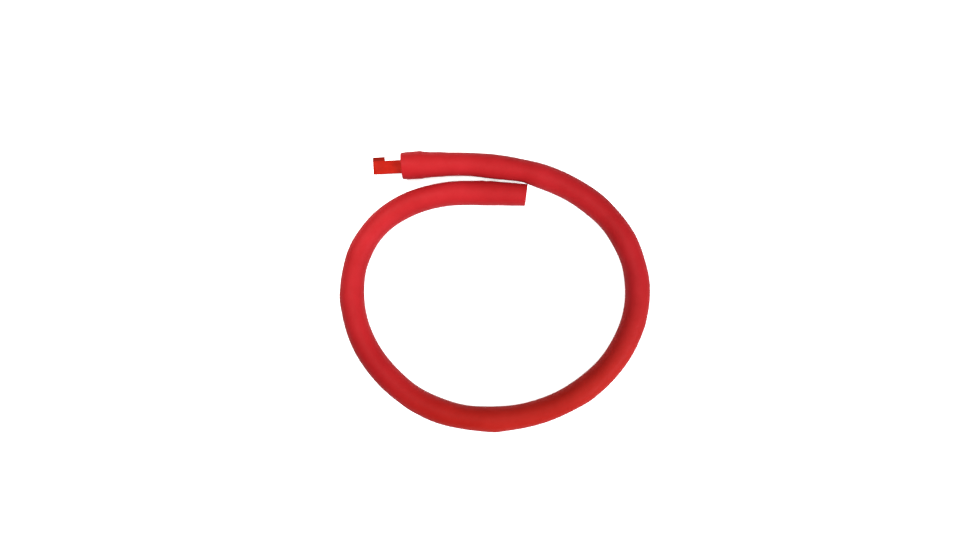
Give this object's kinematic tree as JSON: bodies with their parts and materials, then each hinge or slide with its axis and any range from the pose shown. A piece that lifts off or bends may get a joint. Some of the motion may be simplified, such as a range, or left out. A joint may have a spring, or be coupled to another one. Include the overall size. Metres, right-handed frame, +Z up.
{
  "type": "chain lock",
  "caption": "Open loop of hardened chain in a round rubber sleeve, with a keyed socket on one end and a notched flat steel tongue on the other.",
  "frame": {"origin": "middle of the footprint on the surface that the lock lies on", "axes": "+Z up, through the loop; +X along the loop's longer diameter, the way the socket's mouth faces; +Y towards the side where the two ends overlap"},
  "size_m": [0.2755, 0.2492, 0.0247],
  "materials": {
    "sleeve_rubber": "satin moulded silicone rubber sleeve, red",
    "tongue_paint": "semi-gloss orange-red coating on a steel bar",
    "anchor_steel": "turned steel",
    "pin_steel": "ground steel",
    "face_steel": "dark brushed steel",
    "screw_steel": "blackened steel",
    "housing_zinc": "die-cast, as cast",
    "brass": "machined brass",
    "cam_steel": "pressed steel",
    "spring_steel": "drawn spring wire",
    "chain_steel": "hardened steel wire, zinc plated"
  },
  "bodies": {
    "lock_end": {"chain_link_01": "chain_steel", "chain_link_02": "chain_steel", "chain_link_03": "chain_steel", "chain_link_04": "chain_steel", "chain_link_05": "chain_steel", "chain_link_06": "chain_steel", "chain_link_07": "chain_steel", "chain_link_08": "chain_steel", "chain_link_09": "chain_steel", "chain_link_10": "chain_steel", "chain_link_11": "chain_steel", "chain_link_12": "chain_steel", "chain_link_13": "chain_steel", "chain_link_14": "chain_steel", "chain_link_15": "chain_steel", "chain_link_16": "chain_steel", "chain_link_17": "chain_steel", "chain_link_18": "chain_steel", "chain_link_19": "chain_steel", "chain_link_20": "chain_steel", "chain_link_21": "chain_steel", "cover_screws": "screw_steel", "cylinder_shell": "brass", "face_plate_screws": "screw_steel", "housing_cover": "housing_zinc", "latch_pivot_pin": "pin_steel", "latch_spring": "spring_steel", "lock_chain_pin": "pin_steel", "lock_face_plate": "face_steel", "lock_housing": "housing_zinc", "shell_screw": "screw_steel", "sleeve_lock_leg": "sleeve_rubber"},
    "plug": {"key_plug": "brass", "wafer_tumblers": "brass", "plug_cam": "cam_steel", "cam_screw": "screw_steel"},
    "latch": {"latch_lever": "cam_steel"},
    "tongue_leg": {"sleeve_tongue_leg": "sleeve_rubber", "tongue": "tongue_paint", "tongue_dowels": "pin_steel", "tongue_anchor": "anchor_steel", "tongue_chain_pin": "pin_steel", "chain_link_22": "chain_steel", "chain_link_23": "chain_steel", "chain_link_24": "chain_steel", "chain_link_25": "chain_steel", "chain_link_26": "chain_steel", "chain_link_27": "chain_steel", "chain_link_28": "chain_steel", "chain_link_29": "chain_steel", "chain_link_30": "chain_steel", "chain_link_31": "chain_steel", "chain_link_32": "chain_steel", "chain_link_33": "chain_steel"}
  },
  "joints": [
    {"name": "tongue_leg_flex", "type": "hinge", "parent": "lock_end", "child": "tongue_leg", "pos_m": [0.11894, -0.04059, 0.0103], "axis": [0, 0, -1], "range_deg": [0, 25]},
    {"name": "key_turn", "type": "hinge", "parent": "lock_end", "child": "plug", "pos_m": [-0.00767, 0.08734, 0.0103], "axis": [0.0411, 0.9992, 0], "range_deg": [0, 90]},
    {"name": "latch_rock", "type": "hinge", "parent": "lock_end", "child": "latch", "pos_m": [0.00032, 0.08701, 0.0059], "axis": [0.0411, 0.9992, 0], "range_deg": [0, 10], "stiffness_Nm_per_rad": 0.03, "springref_deg": -11.46, "deforming": ["latch_spring"]}
  ],
  "couplings": [
    {"joint": "latch_rock", "follows": "key_turn", "ratio": 0.11111}
  ]
}
